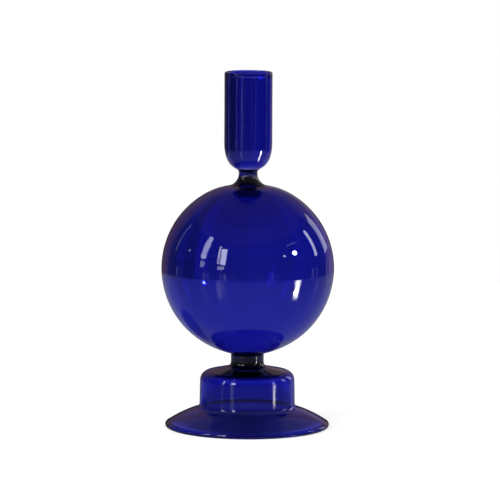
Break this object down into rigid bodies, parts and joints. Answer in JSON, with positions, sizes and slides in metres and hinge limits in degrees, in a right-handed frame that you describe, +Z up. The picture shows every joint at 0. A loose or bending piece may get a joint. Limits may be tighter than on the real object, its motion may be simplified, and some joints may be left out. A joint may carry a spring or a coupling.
{
  "type": "candlestick",
  "caption": "Blown-glass candlestick: straight cup for a taper candle on a short stem, over a hollow globe, a solid neck, a round hollow drum and a flared foot with a rolled edge.",
  "frame": {"origin": "centre of the ground ring under the foot, on the plane that the candlestick stands on", "axes": "+Z up along the common axis of the foot, globe and candle cup; X and Y level, and alike because the piece is round"},
  "size_m": [0.094, 0.094, 0.1942],
  "materials": {
    "cobalt_glass": "clear cobalt-blue blown glass, fire-polished"
  },
  "bodies": {
    "root": {"foot_flange": "cobalt_glass", "foot_drum": "cobalt_glass", "base_neck": "cobalt_glass", "globe": "cobalt_glass", "stem": "cobalt_glass", "candle_cup": "cobalt_glass"}
  },
  "joints": []
}
